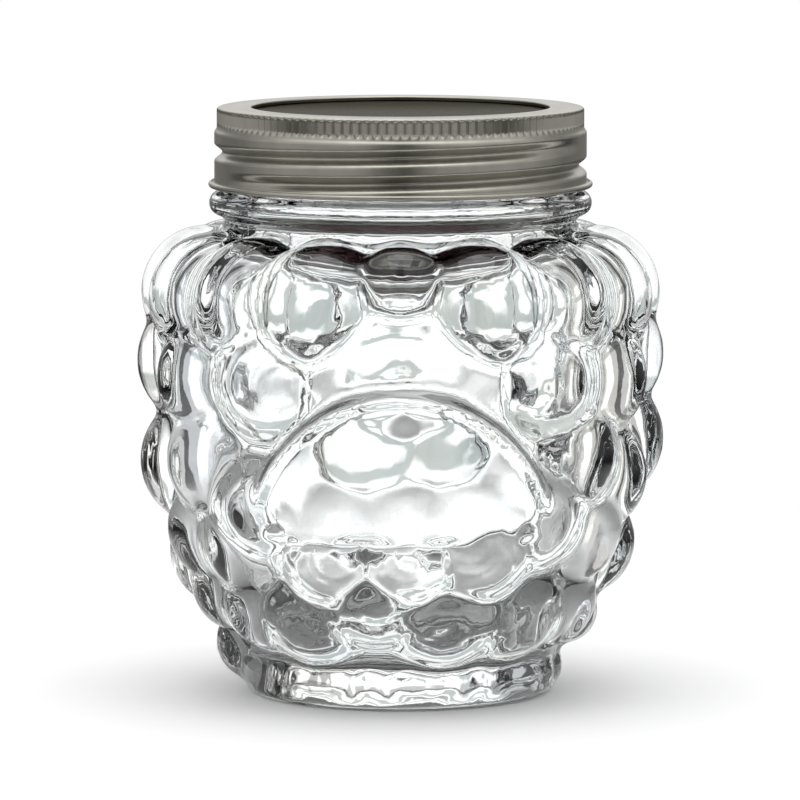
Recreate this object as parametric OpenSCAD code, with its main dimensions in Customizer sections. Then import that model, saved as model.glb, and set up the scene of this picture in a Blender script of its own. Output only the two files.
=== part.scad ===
// Glass jam pot pressed as a berry, with a two-part screw lid: a loose disc
// with its red sealing ring, and an open screw band that holds it down.
// The pot stands on z = 0, its axis is the z axis, and its plaque faces -y.

/* [Pot body] */
// Height of the berry body, from the table to the foot of the neck
body_h = 93.5; // [84:0.5:104]
// Largest radius, over the drupelets
body_r = 52.9; // [50:0.1:58]
// Depth of the creases between the drupelets
crease_d = 4.9; // [3.5:0.1:6]
// Radius of a drupelet of size 1
drupelet_r = 12.5; // [11:0.1:14]
// Radius of the plain heel
heel_r = 31.6; // [28:0.1:34]
// Rounding of the heel down to the table
heel_round = 3; // [1:0.1:5]
// Inner radius of the ring that the pot stands on
foot_in_r = 23; // [18:0.5:26]
// Rise of the hollow under the pot
foot_rise = 1; // [0.4:0.1:2]
// Thickness of the wall at the creases
wall = 3; // [2:0.1:4]
// Thickness of the glass in the bottom
floor_t = 8.2; // [5:0.1:11]
// Rounding of the inner corner above the bottom
floor_round = 6; // [3:0.5:9]

/* [Plaque] */
// Width of the bare plaque on the front
plaque_w = 62; // [50:1:68]
// Height of the plaque
plaque_h = 29; // [22:0.5:32]
// Height of the plaque's lower edge above the table
plaque_z = 36.3; // [34:0.1:40]
// Rounding of the plaque's lower corners
plaque_round = 5; // [2:0.5:8]
// Radius of the plaque's face about the axis of the pot
plaque_r = 52.6; // [51.5:0.1:56]
// Radius of the smooth swell over the plaque
apron_r = 30; // [26:0.5:34]
// How far the swell lies below the plaque's face
apron_d = 1.6; // [1:0.1:2.4]

/* [Neck] */
// Radius of the finish between the threads
finish_r = 34.4; // [33:0.1:36]
// Thickness of the glass at the mouth
finish_wall = 4.4; // [3.5:0.1:6]
// How far the plain neck under the bead stands out from the finish
neck_d = 0.3; // [0:0.1:1]
// Height of the plain neck
neck_h = 2.6; // [1.5:0.1:5]
// How far the bead under the band stands out from the plain neck
bead_d = 3.7; // [2.6:0.1:4.6]
// Height of the bead
bead_h = 4.7; // [3:0.1:6]
// Height of the threaded finish, from the bead to the rim
finish_h = 15.4; // [14.8:0.1:17]
// Rounding of the rim
rim_round = 1; // [0.5:0.1:1.5]

/* [Thread] */
// Rise of the thread in one turn
pitch = 5.08; // [4.6:0.02:5.6]
// Height of the glass thread's crest over the finish
thread_d = 1.4; // [1.1:0.1:1.6]
// Width of the glass thread at its foot
thread_w = 2.4; // [1.6:0.1:2.8]
// Clearance between the glass thread and the band's skirt
thread_gap = 1; // [0.9:0.1:1.4]
// Height of the band's groove above the band's lower edge, at the front
groove_z = 3.7; // [3.4:0.1:4.2]
// Depth of the groove rolled into the band
groove_d = 1.6; // [1.3:0.1:1.7]
// Width of the groove rolled into the band
groove_w = 3; // [2.4:0.1:3.2]

/* [Screw band] */
// Height of the band
band_h = 16.2; // [15.6:0.1:16.6]
// Thickness of the sheet that the band is rolled from
sheet_t = 0.4; // [0.25:0.05:0.45]
// Width of the band's top, from its skirt to its opening
flange_w = 7.4; // [6.2:0.1:10]
// How far the smooth edge over the knurl lies inside the skirt
crown_in = 0.6; // [0.5:0.05:0.9]
// Rounding of the band's top corner
corner_r = 1.2; // [0.8:0.1:1.5]
// Height of the smooth edge above the knurl
crown_h = 1.4; // [1.2:0.1:2]
// Height of the knurl
knurl_h = 3.6; // [2:0.1:4]
// Depth of the knurl
knurl_d = 0.4; // [0.2:0.05:0.5]
// Wall of the band behind the flutes
knurl_t = 0.7; // [0.6:0.05:0.7]
// Number of flutes in the knurl
flutes = 124; // [90:2:150]
// Radius of the rolled hem round the opening
hem_r = 0.4; // [0.3:0.05:0.45]
// How far the out-turned lip stands out from the skirt
lip_d = 1.2; // [0.8:0.1:2.2]
// Thickness of the lip's curl
lip_t = 1.5; // [1:0.1:2]

/* [Lid disc and seal] */
// Thickness of the lid disc
disc_t = 0.3; // [0.2:0.05:0.5]
// Clearance between the sealing ring and the slope round the sunk panel
panel_gap = 0.35; // [0.1:0.05:0.8]
// How far the middle panel is sunk
panel_d = 0.5; // [0.4:0.05:0.5]
// Width of the slope round the middle panel
slope_w = 0.6; // [0.4:0.05:0.7]
// Width of the sealing ring
seal_w = 2; // [1.5:0.1:2.1]
// Thickness of the sealing ring
seal_t = 0.5; // [0.3:0.05:0.8]
// Clearance between the parts that lie on each other
seat_gap = 0.1; // [0.05:0.05:0.15]

/* [Hidden] */
$fn = 72;

// Radii that follow from the finish, outwards to the band and inwards to the mouth
mouth_r = finish_r - finish_wall;
neck_r = finish_r + neck_d;
bead_r = neck_r + bead_d;
thread_r = finish_r + thread_d;
skirt_r = thread_r + thread_gap + sheet_t;
crown_r = skirt_r - crown_in;
opening_r = skirt_r - flange_w;
lip_r = skirt_r + lip_d;
disc_r = finish_r;
seal_r = finish_r - rim_round / 2;
seal_in_r = seal_r - seal_w;
panel_r = seal_in_r - panel_gap - slope_w - disc_t / 2;

// Heights that follow from the stack of the neck and the lid
bead_z = body_h + neck_h;
finish_z = bead_z + bead_h;
rim_z = finish_z + finish_h;
seal_z = rim_z + seat_gap;
disc_z = seal_z + seal_t;
band_top = disc_z + disc_t + seat_gap + sheet_t;
band_z = band_top - band_h;

// Overrun of a cut past the face that it opens, and of a rib into its wall
over = sheet_t;

// Outline of the body at the bottom of the creases: share of the crease
// radius and share of the body height, from the heel to the shoulder
crease_r = body_r - crease_d;
core_shares = [[0.67, 0.09], [0.76, 0.17], [0.86, 0.26], [0.95, 0.37], [0.995, 0.5],
    [1, 0.75], [0.965, 0.88], [0.9, 0.945], [0.81, 0.985]];

// Outline over the drupelets: share of the body height and share of the body radius
peak_shares = [[0.08, 0.63], [0.15, 0.715], [0.235, 0.815], [0.3, 0.872], [0.385, 0.937],
    [0.47, 0.982], [0.555, 1], [0.7, 1], [0.79, 0.994], [0.88, 0.988], [0.94, 0.955], [1, 0.87]];

// Drupelets of one half of the body: turn from the front in degrees,
// share of the body height, share of the drupelet radius
half_shares = [
    [-27, 0.898, 1.12], [27, 0.898, 1.12], [-52, 0.888, 1], [52, 0.888, 1], [-77, 0.882, 1], [77, 0.882, 1],
    [-36, 0.695, 1], [40, 0.695, 1], [-62, 0.695, 1], [63, 0.695, 1],
    [-30, 0.46, 1.05], [-57, 0.53, 1], [49, 0.545, 0.95], [38, 0.433, 0.9], [69, 0.49, 0.9],
    [-48, 0.375, 0.95], [22, 0.375, 0.95], [60, 0.385, 0.9], [-20, 0.353, 0.85], [2, 0.353, 0.8],
    [-72, 0.375, 0.85], [-30, 0.232, 0.95], [-8, 0.264, 0.85], [14.5, 0.23, 0.95], [40, 0.238, 0.95],
    [-53, 0.235, 0.8], [64, 0.225, 0.85], [-75, 0.235, 0.85]];
// Drupelets that the halves share, on the two sides
side_shares = [[-90, 0.685, 1], [90, 0.7, 1], [-90, 0.48, 1], [90, 0.52, 1],
    [90, 0.318, 0.95], [-90, 0.3, 0.95], [-90, 0.14, 0.6], [90, 0.165, 0.7]];
// Drupelet over the plaque, and those that fill its place at the back
crown_shares = [[0, 0.877, 1.05], [180, 0.89, 1.05]];
back_shares = [[167, 0.695, 1], [193, 0.695, 1], [180, 0.52, 1]];
drupelets = concat(half_shares, side_shares, crown_shares, back_shares,
    [for (d = half_shares) [180 - d[0], d[1], d[2]]]);

// Barrel that shapes the plaque's face: its radius of curvature and its height
barrel_r = 1.5 * plaque_r;
barrel_z = plaque_z + 0.75 * plaque_h;

// Thread: sweeps in degrees, and the half width that a rolled groove takes up
thread_start = -70;
thread_sweep = 410;
groove_sweep = 505;
fade = 40;
rib_step = 10;
skin_step = 7.5;
skin_rows = 18;
groove_front = band_z + groove_z;
thread_front = groove_front + pitch / 2;
// Skirt of rolled sheet, from inside the knurl down to inside the lip
knurl_z = band_top - crown_h - knurl_h;
skin_top = knurl_z + over;
skin_low = band_z + lip_t / 2;
knurl_r = skirt_r - knurl_d / 2;
knurl_in_r = knurl_r - knurl_d / 2 - knurl_t;
// Step that the skirt's sheet takes inwards to pass behind the flutes
step_d = knurl_d + knurl_t / 6;
step_h = 2 * sheet_t;

// Radius at the bottom of the creases at a height
function core_r(z) = crease_r * lookup(z / body_h, [for (p = core_shares) [p[1], p[0]]]);
// Radius over the drupelets at a height
function peak_r(z) = body_r * lookup(z / body_h, peak_shares);
// Share from 0 to 1 with soft ends
function soft(t) = let (u = min(1, max(0, t))) u * u * (3 - 2 * u);
// Points on an arc about a centre
function arc(c, r, a0, a1, steps = 8) =
    [for (i = [0:steps]) let (a = a0 + (a1 - a0) * i / steps) [c[0] + r * cos(a), c[1] + r * sin(a)]];
// Strength of the thread at a turn, faded in and out at its ends
function strength(turn, sweep) = soft(turn / fade) * soft((sweep - turn) / fade);
// Radius of the skirt's outer face at a turn from the thread's start and a height
function skirt_at(turn, z) = skirt_r - step_d * soft((z - knurl_z + step_h) / step_h) - groove_d * max([for (k = [0:2])
    let (t = turn + 360 * k, off = z - groove_front - pitch * (thread_start + t) / 360)
    t > groove_sweep ? 0 : strength(t, groove_sweep) * soft(1 - abs(off) / (groove_w / 2))]);
// Point at a radius, a turn from the front and a height
function around(r, turn, z) = [r * sin(turn), -r * cos(turn), z];
// Triangles between the rings of a closed tube, each ring with n points
function tube_faces(rings, n) = concat(
    [for (i = [0:rings - 2], j = [0:n - 1]) [i * n + j, i * n + (j + 1) % n, (i + 1) * n + j]],
    [for (i = [0:rings - 2], j = [0:n - 1])
        [i * n + (j + 1) % n, (i + 1) * n + (j + 1) % n, (i + 1) * n + j]],
    [[for (j = [n - 1:-1:0]) j]], [[for (j = [0:n - 1]) (rings - 1) * n + j]]);

// Solid turned from the bottom of the creases, with the neck and its finish
module turned_body() {
    rotate_extrude() polygon(concat(
        [[0, foot_rise], [foot_in_r, foot_rise], [foot_in_r + foot_rise, 0]],
        arc([heel_r - heel_round, heel_round], heel_round, -90, 0),
        [for (p = core_shares) [crease_r * p[0], body_h * p[1]]],
        [[neck_r, body_h], [neck_r, bead_z + bead_h / 2], [finish_r, bead_z + bead_h / 2]],
        arc([finish_r - rim_round, rim_z - rim_round], rim_round, 0, 90),
        [[0, rim_z]]));
    // Bead under the band
    rotate_extrude() polygon(concat(
        [[mouth_r + (finish_r - mouth_r) / 2, bead_z]],
        arc([bead_r - bead_h / 2, bead_z + bead_h / 2], bead_h / 2, -90, 90, 10),
        [[mouth_r + (finish_r - mouth_r) / 2, finish_z]]));
}

// Ball of each drupelet, its crown on the outline over the drupelets
module drupelet_balls() {
    for (d = drupelets) let (r = drupelet_r * d[2], z = body_h * d[1])
        translate(around(peak_r(z) - r, d[0], z)) sphere(r);
}

// Hollow of the pot, from the bottom to the mouth
module hollow() {
    corner_z = floor_t + floor_round;
    rotate_extrude() polygon(concat(
        [[0, floor_t]],
        arc([core_r(corner_z) - wall - floor_round, corner_z], floor_round, -90, 0, 5),
        [for (p = core_shares) if (body_h * p[1] > corner_z && p[1] < 0.98)
            [crease_r * p[0] - wall, body_h * p[1]]],
        [[neck_r - wall, body_h - wall], [mouth_r, bead_z + bead_h / 2],
            [mouth_r, rim_z + over], [0, rim_z + over]]));
}

// Outline of the plaque: a low arch with round lower corners
module arched_outline() {
    rise = plaque_h - plaque_round;
    arch_r = (pow(plaque_w / 2, 2) + pow(rise, 2)) / (2 * rise);
    low_a = asin((plaque_round - plaque_h + arch_r) / arch_r);
    polygon(concat(
        arc([0, plaque_h - arch_r], arch_r, low_a, 180 - low_a, 24),
        arc([plaque_round - plaque_w / 2, plaque_round], plaque_round, 180, 270, 6),
        arc([plaque_w / 2 - plaque_round, plaque_round], plaque_round, 270, 360, 6)));
}

// Bare plaque with a barrel-shaped face, fullest at its upper part
module plaque() {
    intersection() {
        translate([0, 0, plaque_z]) rotate([90, 0, 0]) linear_extrude(2 * body_r) arched_outline();
        rotate_extrude() intersection() {
            translate([plaque_r - barrel_r, barrel_z]) circle(barrel_r);
            translate([0, barrel_z - body_h / 2]) square([body_r, body_h]);
        }
    }
}

// Smooth swell between the plaque and the middle one of the upper drupelets
module apron() {
    translate(around(plaque_r - apron_d - apron_r, 0, plaque_z + plaque_h)) sphere(apron_r);
}

module glass_thread() {
    steps = thread_sweep / rib_step;
    foot = finish_r - over;
    points = [for (i = [0:steps]) let (
            t = i * rib_step, s = strength(t + 1, thread_sweep + 2), turn = thread_start + t,
            z = thread_front + pitch * turn / 360, crest = finish_r + (thread_r - finish_r) * s,
            w = thread_w / 2 * (0.4 + 0.6 * s))
        each [around(foot, turn, z - w), around(crest, turn, z - w / 2),
            around(crest, turn, z + w / 2), around(foot, turn, z + w)]];
    polyhedron(points, tube_faces(steps + 1, 4));
}

module glass_pot() {
    color([0.86, 0.9, 0.88, 0.45])
    difference() {
        union() {
            turned_body();
            drupelet_balls();
            apron();
            plaque();
            glass_thread();
        }
        hollow();
    }
}

module lid_disc() {
    top = disc_z + disc_t;
    color([0.42, 0.42, 0.4])
    rotate_extrude() polygon([[0, top - panel_d], [panel_r, top - panel_d], [panel_r + slope_w, top],
        [disc_r, top], [disc_r, disc_z], [panel_r + slope_w + disc_t / 2, disc_z],
        [panel_r + disc_t / 2, disc_z - panel_d], [0, disc_z - panel_d]]);
}

module sealing_ring() {
    color([0.32, 0.04, 0.06])
    translate([0, 0, seal_z]) difference() {
        cylinder(h = seal_t, r = seal_r);
        translate([0, 0, -over]) cylinder(h = seal_t + 2 * over, r = seal_in_r);
    }
}

// Flat top with its rounded corner, down to the knurl
module band_crown() {
    low = knurl_z + knurl_h - over;
    rotate_extrude() polygon(concat(
        [[opening_r + hem_r, band_top - sheet_t], [opening_r + hem_r, band_top]],
        arc([crown_r - corner_r, band_top - corner_r], corner_r, 90, 0),
        [[crown_r, low], [crown_r - sheet_t, low]],
        arc([crown_r - corner_r, band_top - corner_r], corner_r - sheet_t, 0, 90)));
    rotate_extrude() translate([opening_r + hem_r, band_top - 0.75 * hem_r]) circle(hem_r, $fn = 24);
}

// Ring of upright flutes
module knurl() {
    difference() {
        translate([0, 0, knurl_z]) linear_extrude(knurl_h) polygon([for (i = [0:2 * flutes - 1])
            let (r = knurl_r + (i % 2 == 0 ? 0.5 : -0.5) * knurl_d, a = 180 * i / flutes)
            [r * cos(a), r * sin(a)]]);
        cylinder(h = band_top, r = knurl_in_r);
    }
}

// Skirt of thin sheet with its rolled groove, one closed skin
module threaded_skirt() {
    columns = 360 / skin_step;
    row_h = (skin_top - skin_low) / skin_rows;
    n = 2 * (skin_rows + 1);
    points = [for (i = [0:columns - 1]) let (t = i * skin_step) each concat(
        [for (k = [0:skin_rows]) let (z = skin_low + k * row_h) around(skirt_at(t, z), thread_start + t, z)],
        [for (k = [skin_rows:-1:0]) let (z = skin_low + k * row_h)
            around(skirt_at(t, z) - sheet_t, thread_start + t, z)])];
    faces = [for (i = [0:columns - 1], j = [0:n - 1]) let (
            a = i * n + j, b = i * n + (j + 1) % n, c = ((i + 1) % columns) * n + j,
            d = ((i + 1) % columns) * n + (j + 1) % n)
        each [[a, b, c], [b, d, c]]];
    polyhedron(points, faces);
}

// Out-turned lip at the bottom of the band
module lip() {
    in_r = skirt_r - 1.5 * sheet_t;
    rotate_extrude() polygon(concat(
        [[in_r, band_z + lip_t / 4]],
        arc([lip_r - lip_t / 2, band_z + lip_t / 2], lip_t / 2, -90, 90, 6),
        [[skirt_r + sheet_t / 2, band_z + lip_t + sheet_t], [in_r, band_z + lip_t + sheet_t]]));
}

module screw_band() {
    color([0.62, 0.61, 0.58])
    union() {
        band_crown();
        knurl();
        threaded_skirt();
        lip();
    }
}

glass_pot();
lid_disc();
sealing_ring();
screw_band();
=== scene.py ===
"""Glass jam pot with its two-part screw lid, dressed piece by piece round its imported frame.

Each piece has its own operator in the sidebar of the 3D view. Sizes are in metres, the pot
stands on z = 0, its axis is the z axis and its plaque faces -y.
"""

import math

import bpy
from mathutils import Matrix, Vector


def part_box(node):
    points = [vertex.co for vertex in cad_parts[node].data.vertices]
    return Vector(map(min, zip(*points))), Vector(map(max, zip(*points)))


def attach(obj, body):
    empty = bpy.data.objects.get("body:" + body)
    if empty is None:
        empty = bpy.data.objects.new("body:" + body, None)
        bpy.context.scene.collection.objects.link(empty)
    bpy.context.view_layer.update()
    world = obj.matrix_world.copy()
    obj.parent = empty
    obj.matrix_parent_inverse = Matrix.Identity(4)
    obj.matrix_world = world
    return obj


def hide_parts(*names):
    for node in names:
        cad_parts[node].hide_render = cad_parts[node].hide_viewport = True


bl_info = {
    "name": "Glass jam pot",
    "version": (1, 0, 0),
    "blender": (4, 5, 0),
    "location": "3D View > Sidebar > Jam Pot",
    "description": "Models and finishes a berry-shaped glass jam pot and its screw lid",
    "category": "Object",
}

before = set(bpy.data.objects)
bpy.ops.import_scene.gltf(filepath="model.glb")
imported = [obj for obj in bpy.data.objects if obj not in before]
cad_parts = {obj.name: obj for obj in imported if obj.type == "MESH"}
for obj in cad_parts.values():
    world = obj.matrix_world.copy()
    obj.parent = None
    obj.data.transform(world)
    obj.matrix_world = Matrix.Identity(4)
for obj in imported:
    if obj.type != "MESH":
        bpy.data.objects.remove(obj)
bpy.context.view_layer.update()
POT_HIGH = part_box("glass_pot")[1]
BAND_LOW, BAND_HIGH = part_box("screw_band")
DISC_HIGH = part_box("lid_disc")[1]
SEAL_LOW, SEAL_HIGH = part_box("sealing_ring")

# Outline at the bottom of the creases: share of the crease radius, share of the body height
CORE_SHARES = [(0.67, 0.09), (0.76, 0.17), (0.86, 0.26), (0.95, 0.37), (0.995, 0.5),
               (1, 0.75), (0.965, 0.88), (0.9, 0.945), (0.81, 0.985)]
# Outline over the drupelets: share of the body height, share of the body radius
PEAK_SHARES = [(0.08, 0.69), (0.11, 0.705), (0.165, 0.742), (0.235, 0.815), (0.3, 0.872),
               (0.385, 0.937), (0.47, 0.982), (0.555, 1), (0.7, 1), (0.86, 0.988),
               (0.94, 0.955), (1, 0.87)]
# Drupelets of the front half below the top row: turn from the front in degrees, share of the
# body height, share of the drupelet radius
FRONT_SHARES = [
    (-35, 0.705, 1), (39, 0.705, 1), (-62, 0.7, 1), (64, 0.7, 1), (-38, 0.45, 0.95),
    (-57, 0.53, 1), (49, 0.545, 0.95), (38, 0.433, 0.9), (67, 0.49, 0.9), (-48, 0.375, 0.95),
    (22, 0.375, 0.95), (58, 0.385, 0.9), (-20, 0.353, 0.85), (2, 0.353, 0.8),
    (-68, 0.375, 0.85), (-30, 0.232, 0.95), (-8, 0.264, 0.85), (14.5, 0.23, 0.95),
    (40, 0.238, 0.95), (-50, 0.235, 0.8), (62, 0.23, 0.8), (-70, 0.25, 0.74)]
# Drupelets on the two sides and in the plaque's place at the back
OTHER_SHARES = [
    (-90, 0.715, 1), (90, 0.73, 1), (-90, 0.5, 1), (90, 0.548, 1), (90, 0.325, 0.84),
    (-90, 0.308, 0.92), (-90, 0.107, 0.6), (90, 0.175, 0.52), (167, 0.695, 1),
    (193, 0.695, 1), (168, 0.53, 0.95), (191, 0.505, 0.95)]
# How much wider the top row's gap over the plaque is than its other gaps, in steps
TOP_GAP_SHARE = 0.85

# Room inside under the shoulder: share of the way from the mouth to the wall, and share of the
# body height
SHOULDER_SHARES = [(0.97, 0.795), (0.92, 0.853), (0.82, 0.898), (0.68, 0.923), (0.35, 0.936),
                   (0.05, 0.941)]
# Height share where that room leaves the wall
SHOULDER_START_SHARE = 0.8
# The wall is even within this turn of the front or the back, between these height shares
EVEN_TURN = 31
EVEN_HEIGHT_SHARES = (0.4, 0.6)
# The wall follows the top row's drupelets past this turn, and as drupelets of this size
TOP_DENT_TURN = 35
TOP_DENT_SHARE = 0.6

# Cells of the room's skin as a share of those of the pot's
ROOM_CELL_SHARE = 1.6
# Rounds of smoothing over the room's skin and over the finished pot
ROOM_SOFT = 8
SKIN_SOFT = 3
# Heights over which smoothing fades in above the foot, in the body and in the finished pot, and
# fades out at the mouth
BODY_FADE = 0.003
SKIN_FADE = 0.002
MOUTH_FADE = 0.004

# Width of the heel's small lenses as a share of their height, and the lenses' turn in steps
SMALL_LENS_SHARE = 0.9
LENS_TURN_SHARE = 0.55
# Upright curve of the plaque's face: its radius as a share of the face's, and its middle
BULGE_SHARE = 1.5
BULGE_MIDDLE_SHARE = 0.75
# Place of the plaque's border: in from the edge, and below the face, as shares of its radius
BORDER_INSET_SHARE = 0.8
BORDER_SUNK_SHARE = 0.35

# Thread: its start from the front and the sweeps of the glass rib and of the rolled groove, with
# the turn over which their ends fade, in degrees
THREAD_START = -70
RIB_SWEEP = 410
GROOVE_SWEEP = 505
THREAD_FADE = 40
# Width of the rib with its flanks as a share of its crest
FLANK_SHARE = 1.5

# Slope of the disc round its panel, inside and outside the panel's radius, and the disc's edge
SLOPE_IN = 0.0004
SLOPE_OUT = 0.0006
DISC_EDGE = 0.0002
# Rounding of the seal's lower edges as a share of its height
SEAL_ROUND_SHARE = 0.3

# Play above the band's top, rounding of its hem, and its height from knurl to thread
BAND_PLAY = 0.0001
HEM_ROUND = 0.0003
PLAIN_H = 0.0014
# Shallow ring in the flange, as places out from the opening and down from the top
FLANGE_RING = [(0.0012, 0), (0.0015, 0.00012), (0.0019, 0.00004)]
# Step from the knurl out to the skirt, in rows
STEP_ROWS = 5
STEP_ROW_H = 0.0002
# Fillet over the lip, and how far it drops
LIP_FILLET = 0.0004
LIP_DROP = 0.0001
# Thickness of the lip over the radius of its rolled edge, and rise of that edge
LIP_ROLLS = 2.6
LIP_RISE = 0.0002
# Heights over which the flutes fade in at the top and out at the foot of the knurl
FLUTE_TOP_FADE = 0.0006
FLUTE_LOW_FADE = 0.0008
# Rows of the skirt, columns of each flute, and rows of the glass finish
SKIRT_ROWS = 46
FLUTE_COLUMNS = 4
FINISH_ROWS = 44

# Sharpest turn between faces that is still shaded smooth, in degrees
SMOOTH_TURN = 55
# Two points nearer than this are one
WELD = 1e-6
# Slack in finding the points of a surface by their radius
SLACK = 1e-5

# Camera at the photograph's angle, with its lens and sensor in millimetres
CAMERA_PLACE = (0, -1.39, 0.213)
CAMERA_AIM = (-0.0001, 0, 0.0586)
CAMERA_LENS = 313.8
CAMERA_SENSOR = 36
# Square lamp overhead, and round floor
LAMP_PLACE = (0, -0.1, 1.1)
LAMP_W = 0.8
FLOOR_R = 0.8


def length(name, description, default):
    """A size in metres that a user can change."""
    return bpy.props.FloatProperty(name=name, description=description, default=default,
                                   min=0, precision=5, unit="LENGTH", subtype="DISTANCE")


def count(name, description, default):
    """A whole number that a user can change."""
    return bpy.props.IntProperty(name=name, description=description, default=default, min=1)


def share(name, description, default):
    """A part of one that a user can change."""
    return bpy.props.FloatProperty(name=name, description=description, default=default,
                                   min=0, max=1, subtype="FACTOR")


def strength(name, description, default):
    """A strength of light that a user can change."""
    return bpy.props.FloatProperty(name=name, description=description, default=default, min=0)


def tone(name, description, default):
    """A colour that a user can change."""
    return bpy.props.FloatVectorProperty(name=name, description=description, size=3, min=0,
                                         max=1, default=default, subtype="COLOR")


class GlassSizes(bpy.types.PropertyGroup):
    """Sizes of the glass pot."""
    body_h: length("Body height", "From the table to the foot of the neck", 0.0935)
    body_r: length("Body radius", "Largest radius, over the drupelets", 0.0529)
    crease_d: length("Crease depth", "Depth of the sharp creases between drupelets", 0.0064)
    drupelet_r: length("Drupelet radius", "Radius of a drupelet of size 1", 0.0134)
    top_row_z: length("Top row", "Height of the middle of the top row of drupelets", 0.0803)
    top_row: count("Top row drupelets", "Number of drupelets in the top row", 14)
    crease_soft: count("Crease softness", "Rounds of smoothing over the creases", 6)
    heel_r: length("Heel radius", "Radius of the plain heel", 0.0316)
    heel_round: length("Heel rounding", "Rounding of the heel down to the table", 0.003)
    foot_in_r: length("Foot ring", "Inner radius of the ring that it stands on", 0.023)
    foot_rise: length("Foot rise", "Rise of the hollow under the pot", 0.001)
    wall: length("Wall", "Thickness of the wall at the creases", 0.0022)
    lens_w: length("Heel lens", "Width of the shallow lenses round the heel", 0.013)
    lens_h: length("Heel lens height", "Height of the shallow lenses", 0.006)
    lens_t: length("Heel lens thickness", "Thickness of a lens, most of it sunk", 0.003)
    lens_d: length("Heel lens depth", "How far the lenses stand out", 0.0011)
    lens_z: length("Heel lens place", "Middle of the lenses above the table", 0.0053)
    lenses: count("Heel lenses", "Number of lenses round the heel", 9)
    apron_wall: length("Apron wall", "Thickness of the wall in the swell over the plaque", 0.0052)
    floor_t: length("Bottom", "Thickness of the glass in the bottom", 0.0082)
    floor_round: length("Inner corner", "Rounding above the bottom", 0.006)
    hollow_d: length("Hollow", "Depth of the glass under a drupelet's crown", 0.0067)
    neck_r: length("Neck radius", "Plain neck under the bead", 0.0347)
    neck_h: length("Neck height", "Height of the plain neck", 0.0026)
    bead_r: length("Bead radius", "Bead under the band", 0.0384)
    bead_h: length("Bead height", "Height of the bead", 0.0047)
    finish_r: length("Finish radius", "Finish between the threads", 0.0344)
    mouth_r: length("Mouth radius", "Radius of the mouth", 0.03)
    rim_round: length("Rim rounding", "Rounding of the rim", 0.001)
    thread_r: length("Thread radius", "Crest of the glass thread", 0.0358)
    thread_w: length("Thread width", "Width of the glass thread", 0.0024)
    voxel: length("Skin cell", "Size of the cells of the glass's skin", 0.00092)


class PlaqueSizes(bpy.types.PropertyGroup):
    """Sizes of the bare plaque on the front."""
    plaque_w: length("Width", "Width of the plaque", 0.058)
    plaque_h: length("Height", "Height of the plaque", 0.029)
    plaque_z: length("Place", "Height of its lower edge above the table", 0.0363)
    corner: length("Corner", "Rounding of the lower corners", 0.005)
    plaque_r: length("Face", "Radius of the face about the pot's axis", 0.0516)
    apron_r: length("Swell", "Radius of the smooth swell over the plaque", 0.03)
    apron_d: length("Swell depth", "How far the swell lies below the face", 0.0006)
    crown_r: length("Crown", "Radius of the small drupelet over the plaque", 0.009)
    crown_z: length("Crown place", "Height of its middle above the table", 0.0845)
    crown_out: length("Crown reach", "How far it reaches from the pot's axis", 0.0487)
    border_r: length("Border", "Radius of the bead round the plaque", 0.0013)


class LidSizes(bpy.types.PropertyGroup):
    """Sizes of the screw band, the disc and the seal."""
    skirt_r: length("Skirt radius", "Skirt of the band over its thread", 0.0372)
    sheet_t: length("Sheet", "Thickness of the band's sheet", 0.0004)
    opening_r: length("Opening", "Radius of the opening in the band's top", 0.0298)
    crown_r: length("Crown", "Radius at the top of the knurl", 0.0367)
    corner_r: length("Corner", "Rounding of the band's top corner", 0.0006)
    knurl_h: length("Knurl height", "Height of the knurl", 0.0034)
    knurl_d: length("Knurl depth", "Depth of a flute", 0.00065)
    flutes: count("Flutes", "Number of flutes in the knurl", 124)
    pitch: length("Pitch", "Rise of the thread in one turn", 0.00508)
    groove_z: length("Groove place", "Groove above the lower edge, at the front", 0.0034)
    groove_d: length("Groove depth", "Depth of the rolled groove", 0.0016)
    groove_w: length("Groove width", "Width of the rolled groove", 0.0036)
    hem_h: length("Hem", "Height of the hem round the opening", 0.0008)
    hem_in: length("Hem undercut", "How far the hem leans back under the flange", 0.0003)
    flange_fall: length("Flange fall", "Fall of the flange out to its corner", 0.0001)
    lip_t: length("Lip", "Thickness of the out-turned lip", 0.0015)
    panel_r: length("Disc panel", "Radius of the disc's sunk panel", 0.0308)
    panel_d: length("Panel depth", "How far the panel is sunk", 0.0005)
    disc_t: length("Disc", "Thickness of the disc", 0.0003)
    seal_w: length("Seal width", "Width of the sealing ring", 0.002)


class Colours(bpy.types.PropertyGroup):
    """Colours and gloss of the finishes."""
    glass: tone("Glass", "Tint of the glass at each surface", (0.955, 0.97, 0.966))
    tinplate: tone("Tinplate", "Sheet of the screw band", (0.42, 0.405, 0.355))
    # Painted shade: the disc's sheet and its low-angle tint are darkened for the dark band hem it
    # reflects
    disc: tone("Disc", "Sheet of the lid disc", (0.11, 0.108, 0.1))
    disc_edge_painted_shade: tone("Disc's sheen", "Tint of the disc seen at a low angle", (0.3, 0.29, 0.26))
    sealant: tone("Sealant", "Sealing compound", (0.16, 0.012, 0.025))
    lacquer: tone("Lacquer", "Dark red lacquer under the disc", (0.12, 0.022, 0.042))
    floor: tone("Floor", "Pale studio floor", (0.9, 0.9, 0.9))
    satin: share("Satin", "Roughness of the tinplate", 0.33)


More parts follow.
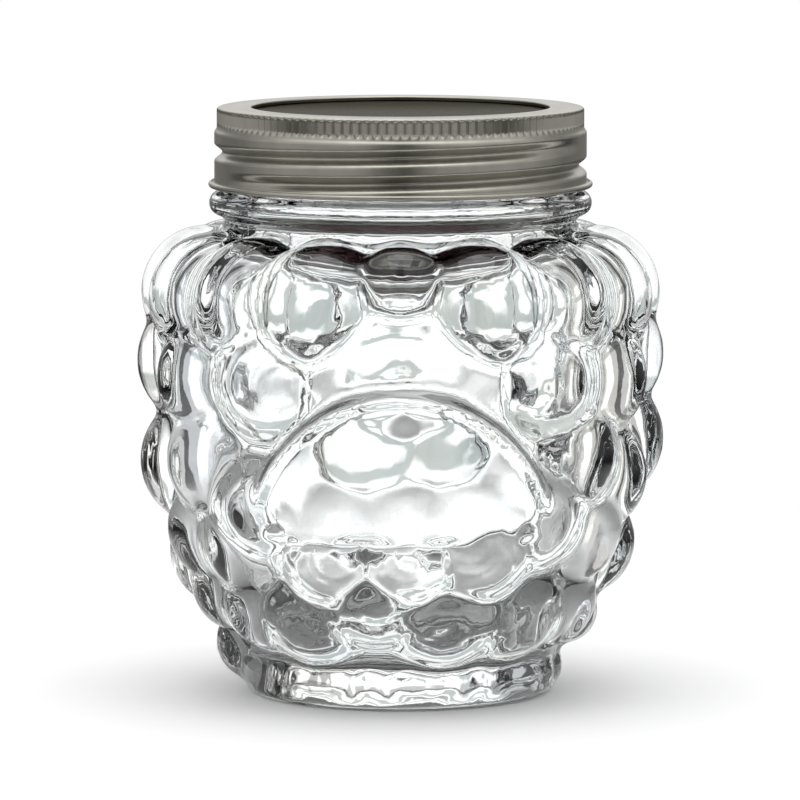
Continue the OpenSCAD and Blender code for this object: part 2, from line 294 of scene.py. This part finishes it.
class Lights(bpy.types.PropertyGroup):
    """Strengths of the studio's light."""
    sides: share("Sides", "Soft boxes at both sides, as metal shows them", 0.8)
    back: share("Back", "Soft box behind, as metal shows it", 0.8)
    top: share("Top", "Soft box overhead, as metal shows it", 0.6)
    dim: share("Room", "The rest of the studio, as metal shows it", 0.03)
    panel: strength("Panels", "White panels round the glass", 1.25)
    grey: strength("Grey", "Loss of light from a panel to the grey beside it", 0.65)
    flag: strength("Flags", "Further loss of light at the dark flags between panels", 0.5)
    horizon: share("Horizon", "Loss of light in a low belt round the glass", 0.48)
    high: share("High", "Loss of light above the panels", 0.5)
    sky: strength("Overhead", "Light overhead that the glass adds", 0.5)
    matt: strength("Matt", "Light on matt surfaces", 1.12)
    # Painted shade: the floor by the pot darkened, only as glass shows it
    painted_shade_by_pot: share("Near floor", "Floor by the pot as glass shows it", 0.18)
    far_floor: share("Far floor", "Floor away from the pot as glass shows it", 0.6)
    lamp: strength("Lamp", "Power of the overhead lamp in watts", 3)


class Signal:
    """A shader value on which plain arithmetic adds Math nodes."""

    def __init__(self, board, socket):
        self.board = board
        self.socket = socket

    def math(self, operation, *values):
        """A Math node on these values."""
        return self.board.node("ShaderNodeMath", {"operation": operation},
                               dict(enumerate(values)))

    def __add__(self, other):
        return self.math("ADD", self, other)

    def __sub__(self, other):
        return self.math("SUBTRACT", self, other)

    def __rsub__(self, other):
        return self.math("SUBTRACT", other, self)

    def __mul__(self, other):
        return self.math("MULTIPLY", self, other)

    __radd__ = __add__
    __rmul__ = __mul__

    def clamp(self, low, high):
        """This value from 0 at low to 1 at high, with soft ends."""
        return self.board.node("ShaderNodeMapRange", {"interpolation_type": "SMOOTHSTEP"},
                               {"Value": self, "From Min": low, "From Max": high})


class Board:
    """The emptied node tree of a material or of the world."""

    def __init__(self, owner):
        owner.use_nodes = True
        self.owner = owner
        self.tree = owner.node_tree
        self.tree.nodes.clear()

    def node(self, kind, settings=None, inputs=None, output=0):
        """Any node, from its type, its settings and the values or links of its sockets."""
        made = self.tree.nodes.new(kind)
        for key, value in (settings or {}).items():
            setattr(made, key, value)
        for key, value in (inputs or {}).items():
            socket = made.inputs[key]
            if isinstance(value, Signal):
                self.tree.links.new(value.socket, socket)
            elif socket.type == "RGBA":
                socket.default_value = (*value, 1)
            else:
                socket.default_value = value
        return Signal(self, made.outputs[output]) if made.outputs else None

    def place(self, stretch=(1, 1, 1)):
        """Object coordinates, stretched."""
        spot = self.node("ShaderNodeTexCoord", output="Object")
        return self.node("ShaderNodeMapping", inputs={"Vector": spot, "Scale": stretch})

    def noise(self, scale, detail=2, stretch=(1, 1, 1)):
        """Noise with so many cells to a metre."""
        return self.node("ShaderNodeTexNoise", inputs={
            "Vector": self.place(stretch), "Scale": scale, "Detail": detail}, output="Fac")

    def mix(self, amount, first, second):
        """A colour between two, by the colour sockets of a Mix node."""
        return self.node("ShaderNodeMix", {"data_type": "RGBA"}, {
            0: amount, 6: first, 7: second}, output=2)

    def bump(self, height, distance, strength=1):
        """Normal of a surface with this relief."""
        return self.node("ShaderNodeBump", inputs={
            "Height": height, "Distance": distance, "Strength": strength}, output="Normal")

    def surface(self, inputs):
        """Ends a material in one shader with these sockets."""
        shader = self.node("ShaderNodeBsdfPrincipled", inputs=inputs)
        self.node("ShaderNodeOutputMaterial", inputs={"Surface": shader})
        return self.owner


def clear_glass(colours):
    """Clear pressed glass, fire polished, with a faint waviness."""
    board = Board(bpy.data.materials.new("clear_glass"))
    wave = board.noise(scale=120, detail=1)
    film = board.noise(scale=40, detail=3).clamp(0.45, 0.75)
    return board.surface({
        "Base Color": colours.glass, "Roughness": film * 0.02, "IOR": 1.5,
        "Transmission Weight": 1, "Normal": board.bump(wave, distance=0.0003, strength=0.5)})


def tinplate(name, colour, satin, edge, lacquer=None):
    """Satin sheet with upright grain, mottling, a tint at low angles and any lacquer underneath."""
    board = Board(bpy.data.materials.new(name))
    grain = board.noise(scale=900, detail=2, stretch=(1, 1, 0.05))
    mottle = board.noise(scale=260, detail=3)
    shade = board.mix(mottle.clamp(0.3, 0.7), [c * 0.9 for c in colour], colour)
    metal = 1
    if lacquer:
        facing = board.node("ShaderNodeTexCoord", output="Normal")
        split = board.node("ShaderNodeSeparateXYZ", inputs={"Vector": facing}, output="Z")
        metal = split.clamp(-0.6, -0.3)
        shade = board.mix(metal, lacquer, shade)
    return board.surface({
        "Base Color": shade, "Metallic": metal, "Specular Tint": edge,
        "Roughness": satin + (grain - 0.5) * 0.15,
        "Normal": board.bump(grain * 0.6 + mottle * 0.4, distance=0.00004, strength=0.3)})


def sealant(colour):
    """Dark red sealing compound, a little uneven."""
    board = Board(bpy.data.materials.new("red_sealant"))
    cast = board.noise(scale=500, detail=2)
    return board.surface({
        "Base Color": colour, "Roughness": 0.35 + cast * 0.15,
        "Normal": board.bump(cast, distance=0.00005)})


def plain_floor(colour, lights):
    """Pale matt floor fading to the backdrop; glass sees it grey, with painted shade by the pot."""
    board = Board(bpy.data.materials.new("pale_floor"))
    through = board.node("ShaderNodeLightPath", output="Is Transmission Ray")
    far = board.node("ShaderNodeVectorMath", {"operation": "LENGTH"}, {0: board.place()},
                     output="Value")
    # Painted shade: as glass sees it the floor is darker, darkest by the pot where its shadow falls
    grey = board.mix(far.clamp(0.03, 0.2), [c * lights.painted_shade_by_pot for c in colour],
                     [c * lights.far_floor for c in colour])
    shade = board.mix(through, colour, grey)
    pale = board.node("ShaderNodeBsdfPrincipled", inputs={
        "Base Color": shade, "Roughness": 0.85 + board.noise(scale=30) * 0.1})
    clear = board.node("ShaderNodeBsdfTransparent")
    whole = board.node("ShaderNodeMixShader", inputs={0: far.clamp(0.12, 0.3), 1: pale, 2: clear})
    board.node("ShaderNodeOutputMaterial", inputs={"Surface": whole})
    return board.owner


def only(*objects):
    """Leaves just these objects selected, the last one active."""
    bpy.ops.object.select_all(action="DESELECT")
    for obj in objects:
        obj.select_set(True)
    bpy.context.view_layer.objects.active = objects[-1]


def applied(obj, kind, **settings):
    """Adds a modifier and applies it."""
    only(obj)
    modifier = obj.modifiers.new(kind.lower(), kind)
    for key, value in settings.items():
        setattr(modifier, key, value)
    bpy.ops.object.modifier_apply(modifier=modifier.name)
    return obj


def joined(name, *objects):
    """One object of several."""
    only(*objects)
    bpy.ops.object.join()
    whole = bpy.context.active_object
    whole.name = whole.data.name = name
    return whole


def traced(name, points, fill=False):
    """A chain of edges through points, drawn by extruding one vertex."""
    bpy.ops.object.select_all(action="DESELECT")
    bpy.ops.mesh.primitive_plane_add()
    obj = bpy.context.active_object
    obj.name = obj.data.name = name
    bpy.ops.object.mode_set(mode="EDIT")
    bpy.ops.mesh.merge(type="CENTER")
    points = [Vector(p) for p in points]
    bpy.ops.transform.translate(value=points[0])
    for start, end in zip(points, points[1:]):
        bpy.ops.mesh.extrude_region_move(TRANSFORM_OT_translate={"value": end - start})
    if fill:
        bpy.ops.mesh.select_all(action="SELECT")
        bpy.ops.mesh.edge_face_add()
    bpy.ops.object.mode_set(mode="OBJECT")
    return obj


def spun(name, outline, steps=96):
    """A body turned about the z axis from an outline of (radius, height)."""
    obj = traced(name, [(r, 0, z) for r, z in outline])
    bpy.ops.object.mode_set(mode="EDIT")
    bpy.ops.mesh.select_all(action="SELECT")
    bpy.ops.mesh.spin(steps=steps, angle=2 * math.pi, center=(0, 0, 0), axis=(0, 0, 1))
    bpy.ops.mesh.select_all(action="SELECT")
    bpy.ops.mesh.remove_doubles(threshold=WELD)
    bpy.ops.mesh.normals_make_consistent(inside=False)
    bpy.ops.object.mode_set(mode="OBJECT")
    return obj


def arc(centre, radius, start, end, steps=6):
    """Points on an arc, with its angles in degrees."""
    turns = [math.radians(start + (end - start) * i / steps) for i in range(steps + 1)]
    return [(centre[0] + radius * math.cos(a), centre[1] + radius * math.sin(a)) for a in turns]


def looked_up(pairs, x):
    """The value at x of a line through pairs."""
    if x <= pairs[0][0]:
        return pairs[0][1]
    for (x0, y0), (x1, y1) in zip(pairs, pairs[1:]):
        if x <= x1:
            return y0 + (y1 - y0) * (x - x0) / (x1 - x0)
    return pairs[-1][1]


def soft(t):
    """A share from 0 to 1 with soft ends."""
    t = min(1, max(0, t))
    return t * t * (3 - 2 * t)


def around(radius, turn, z):
    """The place at a radius, a turn from the front in degrees, and a height."""
    angle = math.radians(turn)
    return Vector((radius * math.sin(angle), -radius * math.cos(angle), z))


def turn_of(place):
    """The turn from the front of a place, in degrees."""
    return math.degrees(math.atan2(place.x, -place.y))


def helix(place, front_z, pitch, sweep, width):
    """How strongly a helical groove or rib passes through a place, from 0 to 1."""
    best = 0
    for lap in range(math.ceil(sweep / 360)):
        turn = (turn_of(place) - THREAD_START) % 360 + 360 * lap
        if turn > sweep:
            break
        off = place.z - front_z - pitch * (THREAD_START + turn) / 360
        ends = soft(turn / THREAD_FADE) * soft((sweep - turn) / THREAD_FADE)
        best = max(best, ends * soft(1 - abs(off) / (width / 2)))
    return best


def weighted(obj, name, weight):
    """A vertex group whose weights follow a function of the place."""
    group = obj.vertex_groups.new(name=name)
    for vertex in obj.data.vertices:
        value = weight(vertex.co)
        if value > 0:
            group.add([vertex.index], value, "REPLACE")
    return group.name


def finished(obj, name, body, node, material):
    """Names a piece, gives it its finish and seats it on its body."""
    only(obj)
    bpy.ops.object.shade_smooth_by_angle(angle=math.radians(SMOOTH_TURN))
    obj.name = obj.data.name = name
    obj.data.materials.clear()
    obj.data.materials.append(material)
    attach(obj, body)
    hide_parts(node)
    return obj


def all_drupelets():
    """Every drupelet as its turn, its height share and its size share."""
    back = [(180 - turn, height, size) for turn, height, size in FRONT_SHARES]
    return FRONT_SHARES + OTHER_SHARES + back


def top_row(sizes):
    """The top row of drupelets, evenly spaced but for a wider gap over the plaque."""
    step = 360 / (sizes.top_row + TOP_GAP_SHARE)
    first = (360 - step * (sizes.top_row - 1)) / 2
    return [(first + step * i, sizes.top_row_z / sizes.body_h, 1) for i in range(sizes.top_row)]


def balls(sizes, drupelets, sunk=0):
    """A ball for each drupelet, its crown sunk below the outline over the drupelets."""
    bpy.ops.object.select_all(action="DESELECT")
    bpy.ops.mesh.primitive_ico_sphere_add(subdivisions=5, radius=1)
    first = bpy.context.active_object
    made = [first]
    for turn, height, size in drupelets:
        radius = sizes.drupelet_r * size
        z = sizes.body_h * height
        peak = sizes.body_r * looked_up(PEAK_SHARES, height)
        ball = first.copy()
        ball.data = first.data.copy()
        ball.data.transform(Matrix.Translation(around(peak - sunk - radius, turn, z))
                            @ Matrix.Scale(radius, 4))
        bpy.context.collection.objects.link(ball)
        made.append(ball)
    bpy.data.objects.remove(made.pop(0))
    return made


def ball(radius, place, rounds=6):
    """A ball of fine triangles, its place in its mesh."""
    bpy.ops.object.select_all(action="DESELECT")
    bpy.ops.mesh.primitive_ico_sphere_add(subdivisions=rounds, radius=radius, location=place)
    bpy.ops.object.transform_apply(location=True)
    return bpy.context.active_object


def apron_ball(plaque, sunk=0):
    """The smooth swell over the plaque, or the same one so far inside it."""
    return ball(plaque.apron_r - sunk, around(
        plaque.plaque_r - plaque.apron_d - plaque.apron_r, 0, plaque.plaque_z + plaque.plaque_h))


def berry_body(sizes, plaque):
    """The body with its drupelets, soft creases and heel lenses, to the middle of the bead."""
    crease_r = sizes.body_r - sizes.crease_d
    bead_z = sizes.body_h + sizes.neck_h
    outline = [(0, sizes.foot_rise), (sizes.foot_in_r, sizes.foot_rise),
               (sizes.foot_in_r + sizes.foot_rise, 0)]
    outline += arc((sizes.heel_r - sizes.heel_round, sizes.heel_round), sizes.heel_round, -90, 0)
    outline += [(crease_r * r, sizes.body_h * z) for r, z in CORE_SHARES]
    outline += [(sizes.neck_r, sizes.body_h), (sizes.neck_r, bead_z + sizes.bead_h / 2),
                (0, bead_z + sizes.bead_h / 2)]
    core = spun("core", outline)
    crown = ball(plaque.crown_r, around(plaque.crown_out - plaque.crown_r, 0, plaque.crown_z))
    body = joined("body", *balls(sizes, all_drupelets() + top_row(sizes)), crown,
                  apron_ball(plaque), *heel_lenses(sizes), core)
    applied(body, "REMESH", mode="VOXEL", voxel_size=sizes.voxel)
    above_foot = weighted(body, "above_foot",
                          lambda p: soft((p.z - sizes.foot_rise) / BODY_FADE))
    applied(body, "SMOOTH", factor=0.5, iterations=sizes.crease_soft, vertex_group=above_foot)
    return body


def heel_lenses(sizes):
    """Shallow oval lenses pressed round the heel, with a small round one between each two."""
    deep = sizes.lens_t / 2
    first = ball(1, (0, 0, 0), rounds=4)
    made = []
    for i in range(2 * sizes.lenses):
        lens = first.copy()
        lens.data = first.data.copy()
        wide = sizes.lens_w if i % 2 else SMALL_LENS_SHARE * sizes.lens_h
        lens.data.transform(
            Matrix.Rotation(math.radians(180 * (i - LENS_TURN_SHARE) / sizes.lenses), 4, "Z")
            @ Matrix.Translation((0, deep - sizes.heel_r - sizes.lens_d, sizes.lens_z))
            @ Matrix.Diagonal((wide / 2, deep, sizes.lens_h / 2, 1)))
        bpy.context.collection.objects.link(lens)
        made.append(lens)
    bpy.data.objects.remove(first)
    return made


def arched_outline(plaque, inset=0):
    """The plaque's outline as (across, up), a low arch with round lower corners."""
    half = plaque.plaque_w / 2 - inset
    high = plaque.plaque_h - 2 * inset
    corner = plaque.corner - inset
    rise = high - corner
    arch_r = (half ** 2 + rise ** 2) / (2 * rise)
    low = math.degrees(math.asin((corner - high + arch_r) / arch_r))
    points = arc((0, high - arch_r), arch_r, low, 180 - low, steps=40)
    points += arc((corner - half, corner), corner, 180, 270, steps=8)[1:]
    points += arc((half - corner, corner), corner, 270, 360, steps=8)[:-1]
    return [(x, z + plaque.plaque_z + inset) for x, z in points]


def barrel_radius(plaque, z):
    """Radius of the plaque's face at a height."""
    bulge = BULGE_SHARE * plaque.plaque_r
    middle = plaque.plaque_z + BULGE_MIDDLE_SHARE * plaque.plaque_h
    return plaque.plaque_r - bulge + math.sqrt(bulge ** 2 - (z - middle) ** 2)


def bare_plaque(plaque):
    """The plain plaque and the bead round it."""
    outline = arched_outline(plaque)
    slab = traced("slab", [(x, 0, z) for x, z in outline], fill=True)
    bpy.ops.object.mode_set(mode="EDIT")
    bpy.ops.mesh.select_all(action="SELECT")
    bpy.ops.mesh.extrude_region_move(
        TRANSFORM_OT_translate={"value": (0, -2 * plaque.plaque_r, 0)})
    bpy.ops.mesh.select_all(action="SELECT")
    bpy.ops.mesh.normals_make_consistent(inside=False)
    bpy.ops.object.mode_set(mode="OBJECT")
    # Rows from a tenth of its height below the plaque to a tenth above it
    heights = [plaque.plaque_z + plaque.plaque_h * (i / 20 - 0.1) for i in range(25)]
    barrel = spun("barrel", [(0, heights[0])] + [(barrel_radius(plaque, z), z) for z in heights]
                  + [(0, heights[-1])], steps=256)
    applied(slab, "BOOLEAN", operation="INTERSECT", object=barrel, solver="EXACT")
    bpy.data.objects.remove(barrel)
    course = []
    for x, z in arched_outline(plaque, plaque.border_r * BORDER_INSET_SHARE):
        radius = barrel_radius(plaque, z) - plaque.border_r * BORDER_SUNK_SHARE
        course.append((x, -math.sqrt(radius ** 2 - x ** 2), z))
    border = traced("border", course + course[:1])
    bpy.ops.object.mode_set(mode="EDIT")
    bpy.ops.mesh.select_all(action="SELECT")
    bpy.ops.mesh.remove_doubles(threshold=WELD)
    bpy.ops.object.mode_set(mode="OBJECT")
    only(border)
    bpy.ops.object.convert(target="CURVE")
    border = bpy.context.active_object
    border.data.bevel_depth = plaque.border_r
    border.data.bevel_resolution = 5
    bpy.ops.object.convert(target="MESH")
    return joined("plaque", bpy.context.active_object, slab)


def threaded_neck(sizes, lid):
    """The bead and the threaded finish up to the rim, as a solid plug."""
    bead_z = sizes.body_h + sizes.neck_h
    finish_z = bead_z + sizes.bead_h
    rim_z = POT_HIGH.z
    outline = [(0, bead_z), (sizes.mouth_r, bead_z)]
    outline += arc((sizes.bead_r - sizes.bead_h / 2, bead_z + sizes.bead_h / 2),
                   sizes.bead_h / 2, -90, 70, steps=12)
    finish_h = rim_z - sizes.rim_round - finish_z
    outline += [(sizes.finish_r, finish_z + finish_h * i / FINISH_ROWS)
                for i in range(FINISH_ROWS + 1)]
    outline += arc((sizes.finish_r - sizes.rim_round, rim_z - sizes.rim_round),
                   sizes.rim_round, 0, 90)[1:]
    outline += [(0, rim_z)]
    neck = spun("neck", outline, steps=144)
    front_z = BAND_LOW.z + lid.groove_z + lid.pitch / 2

    def in_thread(p):
        if p.xy.length < sizes.finish_r - SLACK:
            return 0
        return helix(p, front_z, lid.pitch, RIB_SWEEP, sizes.thread_w * FLANK_SHARE)

    crest = weighted(neck, "thread", in_thread)
    applied(neck, "DISPLACE", direction="NORMAL", mid_level=0, vertex_group=crest,
            strength=sizes.thread_r - sizes.finish_r)
    return neck


def hollow(sizes, plaque):
    """The room inside, which follows the drupelets softly, with the mouth."""
    crease_r = sizes.body_r - sizes.crease_d
    inner = [(sizes.body_h * z, crease_r * r - sizes.wall) for r, z in CORE_SHARES]
    corner_z = sizes.floor_t + sizes.floor_round
    outline = [(0, sizes.floor_t)]
    outline += arc((looked_up(inner, corner_z) - sizes.floor_round, corner_z),
                   sizes.floor_round, -90, 0)
    outline += [(r, z) for z, r in inner if corner_z < z < SHOULDER_START_SHARE * sizes.body_h]
    bead_z = sizes.body_h + sizes.neck_h
    over = sizes.wall
    full_r = crease_r - sizes.wall
    outline += [(sizes.mouth_r + (full_r - sizes.mouth_r) * r, sizes.body_h * z)
                for r, z in SHOULDER_SHARES]
    outline += [(sizes.mouth_r, sizes.body_h), (sizes.mouth_r, POT_HIGH.z + over),
                (0, POT_HIGH.z + over)]
    low, high = EVEN_HEIGHT_SHARES
    dents = [(turn, height, size) for turn, height, size in all_drupelets()
             if abs((turn + 90) % 180 - 90) > EVEN_TURN or not low < height < high]
    dents += [(turn, height, TOP_DENT_SHARE) for turn, height, _ in top_row(sizes)
              if TOP_DENT_TURN < turn < 360 - TOP_DENT_TURN]
    room = joined("room", *balls(sizes, dents, sizes.hollow_d),
                  apron_ball(plaque, sizes.apron_wall), spun("hollow", outline, steps=128))
    applied(room, "REMESH", mode="VOXEL", voxel_size=ROOM_CELL_SHARE * sizes.voxel)
    belly = weighted(room, "belly", lambda p: soft((bead_z + sizes.bead_h - p.z) / MOUTH_FADE))
    applied(room, "SMOOTH", factor=0.5, iterations=ROOM_SOFT, vertex_group=belly)
    return room


class JAMPOT_OT_glass_pot(bpy.types.Operator):
    """Presses the glass pot: drupelets, plaque, heel, neck and thread"""
    bl_idname = "jampot.glass_pot"
    bl_label = "Glass pot"

    def execute(self, context):
        sizes = context.scene.jampot_glass
        plaque = context.scene.jampot_plaque
        pot = joined("glass_pot", berry_body(sizes, plaque), bare_plaque(plaque),
                     threaded_neck(sizes, context.scene.jampot_lid))
        applied(pot, "REMESH", mode="VOXEL", voxel_size=sizes.voxel)
        edge = weighted(pot, "edge", lambda p: soft((p.z - sizes.foot_rise) / SKIN_FADE))
        applied(pot, "SMOOTH", factor=0.5, iterations=SKIN_SOFT, vertex_group=edge)
        room = hollow(sizes, plaque)
        applied(pot, "BOOLEAN", operation="DIFFERENCE", object=room, solver="MANIFOLD")
        bpy.data.objects.remove(room)
        pot.vertex_groups.clear()
        finished(pot, "glass_pot_dressed", "pot", "glass_pot",
                 clear_glass(context.scene.jampot_colours))
        return {"FINISHED"}


class JAMPOT_OT_lid_disc(bpy.types.Operator):
    """Stamps the loose lid disc with its sunk panel"""
    bl_idname = "jampot.lid_disc"
    bl_label = "Lid disc"

    def execute(self, context):
        lid = context.scene.jampot_lid
        top = DISC_HIGH.z
        low = top - lid.panel_d
        half = lid.disc_t / 2
        outline = [(0, low), (lid.panel_r - SLOPE_IN, low), (lid.panel_r + SLOPE_OUT, top),
                   (DISC_HIGH.x - DISC_EDGE, top)]
        outline += arc((DISC_HIGH.x - half, top - half), half, 80, -80)
        outline += [(lid.panel_r + SLOPE_OUT + half, top - lid.disc_t),
                    (lid.panel_r + half, low - lid.disc_t), (0, low - lid.disc_t)]
        disc = spun("disc", outline, steps=192)
        colours = context.scene.jampot_colours
        finished(disc, "lid_disc_dressed", "lid", "lid_disc",
                 # Painted shade: the disc's dark sheet and dark low-angle tint stand in for the
                 # dark hem it reflects
                 tinplate("disc_tinplate", colours.disc, colours.satin, colours.disc_edge_painted_shade,
                          colours.lacquer))
        return {"FINISHED"}


class JAMPOT_OT_sealing_ring(bpy.types.Operator):
    """Lays the red sealing ring under the disc"""
    bl_idname = "jampot.sealing_ring"
    bl_label = "Sealing ring"

    def execute(self, context):
        lid = context.scene.jampot_lid
        low, high, out_r = SEAL_LOW.z, SEAL_HIGH.z, SEAL_HIGH.x
        in_r = out_r - lid.seal_w
        round_r = (high - low) * SEAL_ROUND_SHARE
        outline = [(in_r, high)]
        outline += arc((in_r + round_r, low + round_r), round_r, 180, 270)
        outline += arc((out_r - round_r, low + round_r), round_r, 270, 360)
        outline += [(out_r, high), (in_r, high)]
        ring = spun("ring", outline, steps=192)
        finished(ring, "sealing_ring_dressed", "lid", "sealing_ring",
                 sealant(context.scene.jampot_colours.sealant))
        return {"FINISHED"}


class JAMPOT_OT_screw_band(bpy.types.Operator):
    """Rolls the screw band with its hem, knurl, thread and lip"""
    bl_idname = "jampot.screw_band"
    bl_label = "Screw band"

    def execute(self, context):
        lid = context.scene.jampot_lid
        top = BAND_HIGH.z - BAND_PLAY
        low = BAND_LOW.z
        lip_r = BAND_HIGH.x
        knurl_top = top - lid.flange_fall - lid.corner_r
        knurl_low = knurl_top - lid.knurl_h
        step_low = knurl_low - STEP_ROWS * STEP_ROW_H
        lip_top = low + lid.lip_t
        roll_r = lid.lip_t / LIP_ROLLS
        outline = [(lid.opening_r + lid.hem_in, top - lid.hem_h), (lid.opening_r, top - HEM_ROUND)]
        outline += arc((lid.opening_r + HEM_ROUND, top - HEM_ROUND), HEM_ROUND, 150, 90, steps=3)
        outline += [(lid.opening_r + out, top - down) for out, down in FLANGE_RING]
        outline += arc((lid.crown_r - lid.corner_r, knurl_top), lid.corner_r, 85, 0, steps=5)
        outline += [(lid.crown_r, knurl_top - lid.knurl_h * i / 10) for i in range(1, 11)]
        outline += [(lid.crown_r + (lid.skirt_r - lid.crown_r) * soft(i / STEP_ROWS),
                     knurl_low - STEP_ROW_H * i) for i in range(1, STEP_ROWS + 1)]
        outline += [(lid.skirt_r, step_low - (step_low - lip_top) * i / SKIRT_ROWS)
                    for i in range(1, SKIRT_ROWS + 1)]
        outline += arc((lid.skirt_r + LIP_FILLET, lip_top - LIP_DROP), LIP_FILLET, 180, 270,
                       steps=3)
        outline += arc((lip_r - roll_r, low + roll_r + LIP_RISE), roll_r, 90, -60, steps=8)
        band = spun("band", outline, steps=lid.flutes * FLUTE_COLUMNS)
        flute = 2 * math.pi / lid.flutes

        def in_flute(p):
            if p.xy.length < lid.crown_r - lid.knurl_d:
                return 0
            fade = soft((top - lid.flange_fall - p.z) / FLUTE_TOP_FADE)
            fade *= soft((p.z - knurl_low) / FLUTE_LOW_FADE)
            return fade * (0.5 - 0.5 * math.cos(math.atan2(p.y, p.x) / flute * 2 * math.pi))

        def in_groove(p):
            if p.z > knurl_low - PLAIN_H or p.z < lip_top:
                return 0
            return helix(p, low + lid.groove_z, lid.pitch, GROOVE_SWEEP, lid.groove_w)

        group = weighted(band, "flutes", in_flute)
        applied(band, "DISPLACE", direction="NORMAL", mid_level=0, vertex_group=group,
                strength=-lid.knurl_d)
        group = weighted(band, "groove", in_groove)
        applied(band, "DISPLACE", direction="NORMAL", mid_level=0, vertex_group=group,
                strength=-lid.groove_d)
        applied(band, "SOLIDIFY", thickness=lid.sheet_t, offset=-1)
        band.vertex_groups.clear()
        colours = context.scene.jampot_colours
        finished(band, "screw_band_dressed", "band", "screw_band",
                 tinplate("band_tinplate", colours.tinplate, colours.satin, (1, 1, 1)))
        return {"FINISHED"}


def studio_world(lights):
    """White for the camera, soft boxes for metal, and white panels with flags for glass."""
    board = Board(bpy.data.worlds.new("studio"))
    way = board.node("ShaderNodeTexCoord", output="Generated")
    split = board.node("ShaderNodeSeparateXYZ", inputs={"Vector": way})
    x, y, z = [Signal(board, socket) for socket in split.socket.node.outputs]
    # Each clamp below is a soft edge, by turn in degrees or by the z of the direction
    turn = x.math("ABSOLUTE", x.math("ARCTAN2", x, y * -1)) * (180 / math.pi)
    sides = turn.clamp(6, 22) * (1 - turn.clamp(80, 120) * 0.6) * z.clamp(-0.3, 0.05)
    back = turn.clamp(140, 160) * z.clamp(0, 0.25)
    top = z.clamp(0.55, 0.8)
    metal = sides * lights.sides + back * lights.back + top * lights.top + lights.dim
    # Turn from the middle of the nearest panel, of which there are four
    fold = x.math("ABSOLUTE", x.math("SUBTRACT", x.math("MODULO", turn + 45, 90), 45))
    panels = lights.panel - fold.clamp(27, 31) * lights.grey - fold.clamp(38, 40) * lights.flag
    horizon = z.clamp(0.01, 0.05) * (1 - z.clamp(0.12, 0.17))
    glass = panels * (1 - z.clamp(0.3, 0.4) * lights.high) * (1 - horizon * lights.horizon)
    glass = glass + z.clamp(0.7, 0.85) * lights.sky
    seen = board.node("ShaderNodeLightPath").socket.node.outputs
    through = Signal(board, seen["Is Transmission Ray"])
    camera = Signal(board, seen["Is Camera Ray"])
    matt = Signal(board, seen["Is Diffuse Ray"])
    light = metal * (1 - through) * (1 - matt) + glass * through + matt * lights.matt
    light = light * (1 - camera) + camera
    # Glass is a little warmer on the right and greener low down
    green = horizon * through * 0.06
    colour = board.node("ShaderNodeCombineColor", inputs={
        0: light * (1 + x * through * 0.03 - green), 1: light,
        2: light * (1 - x * through * 0.04 - green * 0.4)})
    shader = board.node("ShaderNodeBackground", inputs={"Color": colour, "Strength": 1})
    board.node("ShaderNodeOutputWorld", inputs={"Surface": shader})
    return board.owner


class JAMPOT_OT_studio(bpy.types.Operator):
    """Sets the pale floor, the soft light and the camera"""
    bl_idname = "jampot.studio"
    bl_label = "Studio"

    def execute(self, context):
        scene = context.scene
        lights = scene.jampot_lights
        scene.world = studio_world(lights)
        scene.view_settings.view_transform = "Standard"
        scene.cycles.max_bounces = 24
        scene.cycles.transmission_bounces = 24
        bpy.ops.object.select_all(action="DESELECT")
        bpy.ops.mesh.primitive_circle_add(vertices=128, radius=FLOOR_R, fill_type="NGON")
        floor = bpy.context.active_object
        floor.name = "floor"
        floor.data.materials.append(plain_floor(scene.jampot_colours.floor, lights))
        bpy.ops.object.light_add(type="AREA", location=LAMP_PLACE)
        lamp = bpy.context.active_object
        lamp.name = "overhead_softbox"
        lamp.data.size = LAMP_W
        lamp.data.energy = lights.lamp
        lamp.visible_camera = False
        lamp.visible_transmission = False
        bpy.ops.object.camera_add(location=CAMERA_PLACE)
        camera = bpy.context.active_object
        camera.name = "photo_camera"
        aim = Vector(CAMERA_AIM) - camera.location
        camera.rotation_euler = aim.to_track_quat("-Z", "Y").to_euler()
        camera.data.sensor_width = CAMERA_SENSOR
        camera.data.lens = CAMERA_LENS
        scene.camera = camera
        return {"FINISHED"}


class JAMPOT_PT_pieces(bpy.types.Panel):
    """Lists the pieces of the jam pot"""
    bl_label = "Jam Pot"
    bl_space_type = "VIEW_3D"
    bl_region_type = "UI"
    bl_category = "Jam Pot"

    def draw(self, context):
        for operator in OPERATORS:
            self.layout.operator(operator.bl_idname)


GROUPS = {"jampot_glass": GlassSizes, "jampot_plaque": PlaqueSizes, "jampot_lid": LidSizes,
          "jampot_colours": Colours, "jampot_lights": Lights}
OPERATORS = [JAMPOT_OT_glass_pot, JAMPOT_OT_lid_disc, JAMPOT_OT_sealing_ring,
             JAMPOT_OT_screw_band, JAMPOT_OT_studio]


def register():
    """Registers the sizes, the operators and the panel."""
    for name, group in GROUPS.items():
        bpy.utils.register_class(group)
        setattr(bpy.types.Scene, name, bpy.props.PointerProperty(type=group))
    for operator in OPERATORS:
        bpy.utils.register_class(operator)
    bpy.utils.register_class(JAMPOT_PT_pieces)


def unregister():
    """Takes all of it off again."""
    bpy.utils.unregister_class(JAMPOT_PT_pieces)
    for operator in reversed(OPERATORS):
        bpy.utils.unregister_class(operator)
    for name, group in reversed(GROUPS.items()):
        delattr(bpy.types.Scene, name)
        bpy.utils.unregister_class(group)


def main():
    """Makes every piece."""
    register()
    bpy.ops.jampot.glass_pot()
    bpy.ops.jampot.lid_disc()
    bpy.ops.jampot.sealing_ring()
    bpy.ops.jampot.screw_band()
    bpy.ops.jampot.studio()


if __name__ == "__main__":
    main()
